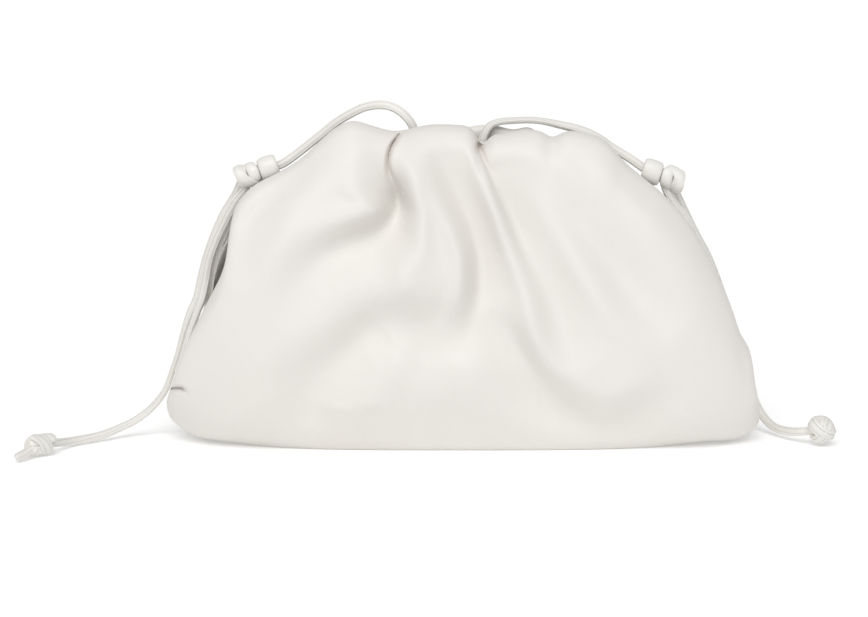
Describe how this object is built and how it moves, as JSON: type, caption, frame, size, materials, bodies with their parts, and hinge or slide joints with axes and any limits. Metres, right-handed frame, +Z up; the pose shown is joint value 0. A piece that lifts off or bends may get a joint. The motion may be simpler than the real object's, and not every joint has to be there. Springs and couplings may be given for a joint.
{
  "type": "gathered leather pouch bag",
  "caption": "Small soft leather pouch bag with a gathered mouth between two rolled lips and a thin leather strap that is tied in sliding knots at both shoulders and ends in two knotted tails.",
  "frame": {"origin": "middle of the pouch's flat base, on the surface that the bag stands on", "axes": "+Z up, +X along the bag's width to the right of someone who looks at its front, the front faces -Y"},
  "size_m": [0.298, 0.0707, 0.1255],
  "materials": {
    "leather": "smooth fine-grained calf leather, warm off-white, soft satin sheen",
    "strap_leather": "smooth leather strip folded to a thin strap, warm off-white, satin"
  },
  "bodies": {
    "root": {"pouch_body": "leather", "strap": "strap_leather", "left_anchor_strand": "strap_leather", "right_anchor_strand": "strap_leather", "left_tail": "strap_leather", "right_tail": "strap_leather", "left_slider_knot": "strap_leather", "right_slider_knot": "strap_leather", "left_end_knot": "strap_leather", "right_end_knot": "strap_leather"}
  },
  "joints": []
}
